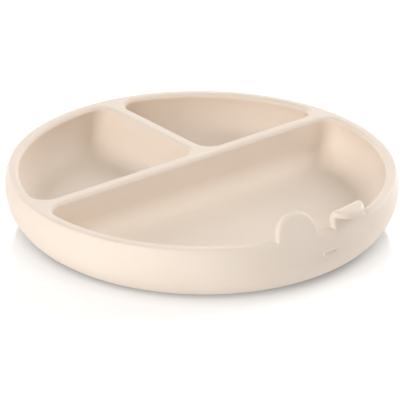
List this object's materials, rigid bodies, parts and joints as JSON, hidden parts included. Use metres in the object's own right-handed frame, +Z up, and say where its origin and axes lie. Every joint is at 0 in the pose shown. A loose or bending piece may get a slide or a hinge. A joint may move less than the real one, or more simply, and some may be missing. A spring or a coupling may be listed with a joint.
{
  "type": "baby suction plate",
  "caption": "Round one-piece silicone feeding plate with a bulging wall, divided compartments, small animal ears on the rim and suction cups underneath.",
  "frame": {"origin": "middle of the round underside, on the table plane; the folded ear makes the box lean about 1 mm to -Y", "axes": "+Z up out of the compartments; -Y towards the side with the ears, which faces the child's front; the long divider runs along X and the short one along +Y"},
  "size_m": [0.19, 0.1919, 0.0425],
  "materials": {
    "silicone": "matte beige silicone"
  },
  "bodies": {
    "root": {"plate": "silicone"}
  },
  "joints": []
}
